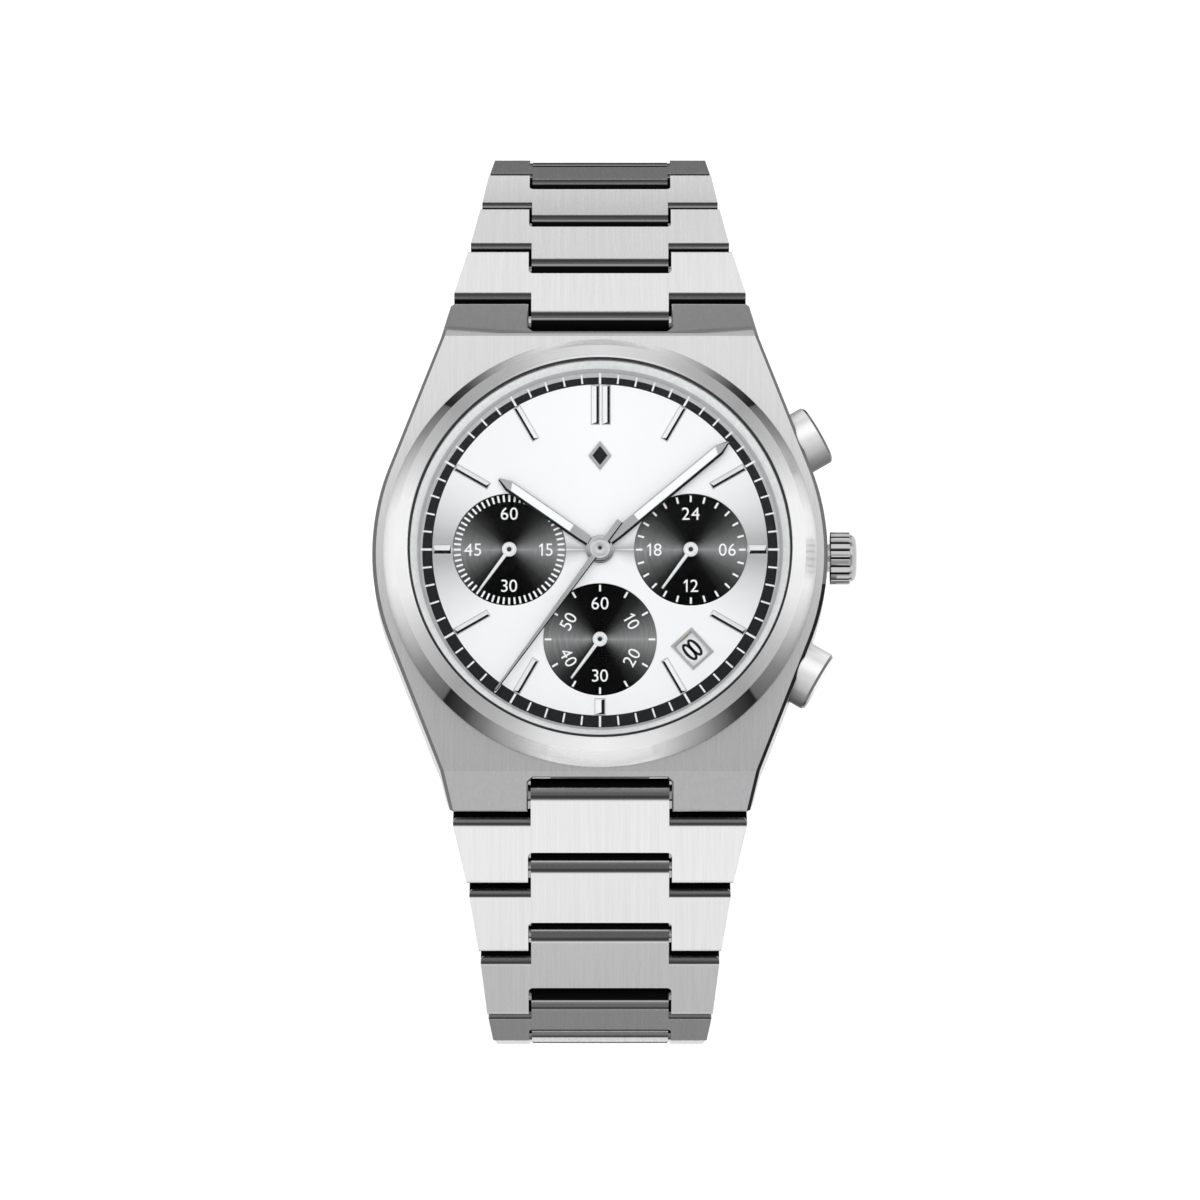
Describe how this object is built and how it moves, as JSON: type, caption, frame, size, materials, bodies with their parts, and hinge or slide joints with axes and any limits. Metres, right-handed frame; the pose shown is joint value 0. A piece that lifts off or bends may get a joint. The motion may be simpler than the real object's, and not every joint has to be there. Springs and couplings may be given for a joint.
{
  "type": "chronograph wristwatch",
  "caption": "Chronograph wristwatch: barrel-shaped steel case, round bezel, dial with small counters, date window, side pushers and a hinged one-piece-link bracelet with a folding clasp.",
  "frame": {"origin": "on the flat underside of the closed clasp cover, straight below the axis of the hands", "axes": "+Z out of the dial, +Y to 12 o'clock, +X to 3 o'clock and the winding stem"},
  "size_m": [0.0437, 0.0835, 0.0558],
  "materials": {
    "case_steel": "vertically brushed",
    "polished_steel": "polished",
    "case_back_steel": "circular brushed",
    "crystal_glass": "polished",
    "gasket_rubber": "matte",
    "flange_silver": "satin",
    "dial_lacquer": "sunray silver",
    "date_white": "printed",
    "hand_steel": "polished, lume filled",
    "small_hand_white": "satin",
    "movement_nylon": "moulded",
    "movement_brass": "plated",
    "board_green": "solder mask",
    "coil_copper": "enamelled copper wire",
    "cell_steel": "satin",
    "inner_steel": "turned",
    "bracelet_steel": "lengthwise brushed, polished edges",
    "clasp_steel": "lengthwise brushed",
    "clasp_polished": "polished"
  },
  "bodies": {
    "head": {"case_body": "case_steel", "bezel": "polished_steel", "crystal": "crystal_glass", "crystal_gasket": "gasket_rubber", "flange_ring": "flange_silver", "case_back": "case_back_steel", "case_back_gasket": "gasket_rubber", "dial": "dial_lacquer", "movement_ring": "movement_nylon", "movement_plate": "movement_brass", "circuit_board": "board_green", "motor_coil": "coil_copper", "battery": "cell_steel", "battery_clamp": "cell_steel", "crown_tube": "inner_steel", "pusher_tube_2": "inner_steel", "pusher_tube_4": "inner_steel", "pusher_spring_2": "inner_steel", "pusher_spring_4": "inner_steel", "spring_bar_12": "inner_steel", "spring_bar_06": "inner_steel"},
    "running_seconds_hand": {"running_seconds_hand": "small_hand_white"},
    "minute_hand": {"minute_hand": "hand_steel"},
    "hour_hand": {"hour_hand": "hand_steel"},
    "hand_24h": {"hand_24h": "small_hand_white"},
    "date_disc": {"date_disc": "date_white"},
    "chrono_seconds_hand": {"chrono_seconds_hand": "hand_steel"},
    "chrono_minutes_hand": {"chrono_minutes_hand": "small_hand_white"},
    "setting_lever": {"setting_lever": "inner_steel"},
    "crown": {"crown": "polished_steel", "stem": "inner_steel"},
    "pusher_2": {"pusher_2": "polished_steel"},
    "pusher_4": {"pusher_4": "polished_steel"},
    "link_12_01": {"link_12_01": "bracelet_steel"},
    "link_12_02": {"link_12_02": "bracelet_steel"},
    "link_12_03": {"link_12_03": "bracelet_steel"},
    "link_12_04": {"link_12_04": "bracelet_steel"},
    "link_12_05": {"link_12_05": "bracelet_steel"},
    "link_12_06": {"link_12_06": "bracelet_steel"},
    "link_12_07": {"link_12_07": "bracelet_steel"},
    "link_12_08": {"link_12_08": "bracelet_steel"},
    "link_12_09": {"link_12_09": "bracelet_steel"},
    "link_12_10": {"link_12_10": "bracelet_steel"},
    "link_06_01": {"link_06_01": "bracelet_steel"},
    "link_06_02": {"link_06_02": "bracelet_steel"},
    "link_06_03": {"link_06_03": "bracelet_steel"},
    "link_06_04": {"link_06_04": "bracelet_steel"},
    "link_06_05": {"link_06_05": "bracelet_steel"},
    "link_06_06": {"link_06_06": "bracelet_steel"},
    "link_06_07": {"link_06_07": "bracelet_steel"},
    "link_06_08": {"link_06_08": "bracelet_steel"},
    "link_06_09": {"link_06_09": "bracelet_steel"},
    "link_06_10": {"link_06_10": "bracelet_steel"},
    "clasp_cover": {"clasp_cover": "clasp_steel"},
    "clasp_blade_a": {"clasp_blade_a": "clasp_polished"},
    "clasp_blade_b": {"clasp_blade_b": "clasp_polished", "clasp_spring_bar": "inner_steel"},
    "clasp_button_left": {"clasp_button_left": "clasp_polished"},
    "clasp_button_right": {"clasp_button_right": "clasp_polished"}
  },
  "joints": [
    {"name": "running_seconds_turn", "type": "hinge", "parent": "head", "child": "running_seconds_hand", "pos_m": [-0.00815, 0, 0.0538], "axis": [0, 0, -1], "continuous": true},
    {"name": "minute_hand_turn", "type": "hinge", "parent": "head", "child": "minute_hand", "pos_m": [0, 0, 0.0538], "axis": [0, 0, -1], "continuous": true},
    {"name": "hour_hand_turn", "type": "hinge", "parent": "head", "child": "hour_hand", "pos_m": [0, 0, 0.0538], "axis": [0, 0, -1], "continuous": true},
    {"name": "hand_24h_turn", "type": "hinge", "parent": "head", "child": "hand_24h", "pos_m": [0.00815, 0, 0.0538], "axis": [0, 0, -1], "continuous": true},
    {"name": "date_disc_turn", "type": "hinge", "parent": "head", "child": "date_disc", "pos_m": [0, 0, 0.0538], "axis": [0, 0, -1], "continuous": true},
    {"name": "chrono_seconds_turn", "type": "hinge", "parent": "head", "child": "chrono_seconds_hand", "pos_m": [0, 0, 0.0538], "axis": [0, 0, -1], "continuous": true},
    {"name": "chrono_minutes_turn", "type": "hinge", "parent": "head", "child": "chrono_minutes_hand", "pos_m": [0, -0.00815, 0.0538], "axis": [0, 0, -1], "continuous": true},
    {"name": "crown_pull", "type": "slide", "parent": "head", "child": "setting_lever", "axis": [1, 0, 0], "range_m": [0, 0.0012]},
    {"name": "crown_turn", "type": "hinge", "parent": "setting_lever", "child": "crown", "pos_m": [0.0205, 0, 0.0489], "axis": [1, 0, 0], "continuous": true},
    {"name": "pusher_2_press", "type": "slide", "parent": "head", "child": "pusher_2", "axis": [-0.866, -0.5, 0], "range_m": [0, 0.0009], "stiffness_N_per_m": 1500, "springref_m": -0.001, "deforming": ["pusher_spring_2"]},
    {"name": "pusher_4_press", "type": "slide", "parent": "head", "child": "pusher_4", "axis": [-0.866, 0.5, 0], "range_m": [0, 0.0009], "stiffness_N_per_m": 1500, "springref_m": -0.001, "deforming": ["pusher_spring_4"]},
    {"name": "link_12_01_hinge", "type": "hinge", "parent": "head", "child": "link_12_01", "pos_m": [0, 0.0214, 0.04925], "axis": [1, 0, 0], "range_deg": [0, 6]},
    {"name": "link_12_02_hinge", "type": "hinge", "parent": "link_12_01", "child": "link_12_02", "pos_m": [0, 0.02699, 0.04504], "axis": [1, 0, 0], "range_deg": [0, 9]},
    {"name": "link_12_03_hinge", "type": "hinge", "parent": "link_12_02", "child": "link_12_03", "pos_m": [0, 0.03194, 0.04009], "axis": [1, 0, 0], "range_deg": [0, 8]},
    {"name": "link_12_04_hinge", "type": "hinge", "parent": "link_12_03", "child": "link_12_04", "pos_m": [0, 0.03625, 0.03457], "axis": [1, 0, 0], "range_deg": [0, 15]},
    {"name": "link_12_05_hinge", "type": "hinge", "parent": "link_12_04", "child": "link_12_05", "pos_m": [0, 0.0391, 0.02818], "axis": [1, 0, 0], "range_deg": [0, 15]},
    {"name": "link_12_06_hinge", "type": "hinge", "parent": "link_12_05", "child": "link_12_06", "pos_m": [0, 0.04031, 0.02128], "axis": [1, 0, 0], "range_deg": [0, 22]},
    {"name": "link_12_07_hinge", "type": "hinge", "parent": "link_12_06", "child": "link_12_07", "pos_m": [0, 0.03898, 0.01441], "axis": [1, 0, 0], "range_deg": [0, 24]},
    {"name": "link_12_08_hinge", "type": "hinge", "parent": "link_12_07", "child": "link_12_08", "pos_m": [0, 0.03506, 0.00861], "axis": [1, 0, 0], "range_deg": [0, 22]},
    {"name": "link_12_09_hinge", "type": "hinge", "parent": "link_12_08", "child": "link_12_09", "pos_m": [0, 0.02933, 0.00459], "axis": [1, 0, 0], "range_deg": [0, 18]},
    {"name": "link_12_10_hinge", "type": "hinge", "parent": "link_12_09", "child": "link_12_10", "pos_m": [0, 0.02267, 0.00243], "axis": [1, 0, 0], "range_deg": [0, 17]},
    {"name": "link_06_01_hinge", "type": "hinge", "parent": "head", "child": "link_06_01", "pos_m": [0, -0.0214, 0.04925], "axis": [-1, 0, 0], "range_deg": [0, 4]},
    {"name": "link_06_02_hinge", "type": "hinge", "parent": "link_06_01", "child": "link_06_02", "pos_m": [0, -0.0274, 0.04564], "axis": [-1, 0, 0], "range_deg": [0, 7]},
    {"name": "link_06_03_hinge", "type": "hinge", "parent": "link_06_02", "child": "link_06_03", "pos_m": [0, -0.03299, 0.04143], "axis": [-1, 0, 0], "range_deg": [0, 7]},
    {"name": "link_06_04_hinge", "type": "hinge", "parent": "link_06_03", "child": "link_06_04", "pos_m": [0, -0.03811, 0.03666], "axis": [-1, 0, 0], "range_deg": [0, 34]},
    {"name": "link_06_05_hinge", "type": "hinge", "parent": "link_06_04", "child": "link_06_05", "pos_m": [0, -0.0398, 0.02987], "axis": [-1, 0, 0], "range_deg": [0, 17]},
    {"name": "link_06_06_hinge", "type": "hinge", "parent": "link_06_05", "child": "link_06_06", "pos_m": [0, -0.03956, 0.02287], "axis": [-1, 0, 0], "range_deg": [0, 14]},
    {"name": "link_06_07_hinge", "type": "hinge", "parent": "link_06_06", "child": "link_06_07", "pos_m": [0, -0.03775, 0.01611], "axis": [-1, 0, 0], "range_deg": [0, 18]},
    {"name": "link_06_08_hinge", "type": "hinge", "parent": "link_06_07", "child": "link_06_08", "pos_m": [0, -0.03404, 0.01017], "axis": [-1, 0, 0], "range_deg": [0, 19]},
    {"name": "link_06_09_hinge", "type": "hinge", "parent": "link_06_08", "child": "link_06_09", "pos_m": [0, -0.02868, 0.00567], "axis": [-1, 0, 0], "range_deg": [0, 19]},
    {"name": "link_06_10_hinge", "type": "hinge", "parent": "link_06_09", "child": "link_06_10", "pos_m": [0, -0.02219, 0.00305], "axis": [-1, 0, 0], "range_deg": [0, 16]},
    {"name": "clasp_cover_hinge", "type": "hinge", "parent": "link_12_10", "child": "clasp_cover", "pos_m": [0, 0.01567, 0.0022], "axis": [1, 0, 0], "range_deg": [0, 4]},
    {"name": "clasp_blade_a_hinge", "type": "hinge", "parent": "clasp_cover", "child": "clasp_blade_a", "pos_m": [0, -0.01209, 0.00235], "axis": [1, 0, 0], "range_deg": [0, 92]},
    {"name": "clasp_blade_b_hinge", "type": "hinge", "parent": "clasp_blade_a", "child": "clasp_blade_b", "pos_m": [0, 0.00907, 0.00235], "axis": [-1, 0, 0], "range_deg": [0, 120]},
    {"name": "clasp_button_left_press", "type": "slide", "parent": "clasp_cover", "child": "clasp_button_left", "axis": [1, 0, 0], "range_m": [0, 0.0006], "stiffness_N_per_m": 800, "springref_m": -0.0008},
    {"name": "clasp_button_right_press", "type": "slide", "parent": "clasp_cover", "child": "clasp_button_right", "axis": [-1, 0, 0], "range_m": [0, 0.0006], "stiffness_N_per_m": 800, "springref_m": -0.0008}
  ],
  "couplings": [
    {"joint": "minute_hand_turn", "follows": "running_seconds_turn", "ratio": 0.016667},
    {"joint": "hour_hand_turn", "follows": "running_seconds_turn", "ratio": 0.0013889},
    {"joint": "hand_24h_turn", "follows": "running_seconds_turn", "ratio": 0.00069444},
    {"joint": "date_disc_turn", "follows": "running_seconds_turn", "ratio": 0.000022401},
    {"joint": "chrono_minutes_turn", "follows": "chrono_seconds_turn", "ratio": 0.016667}
  ]
}
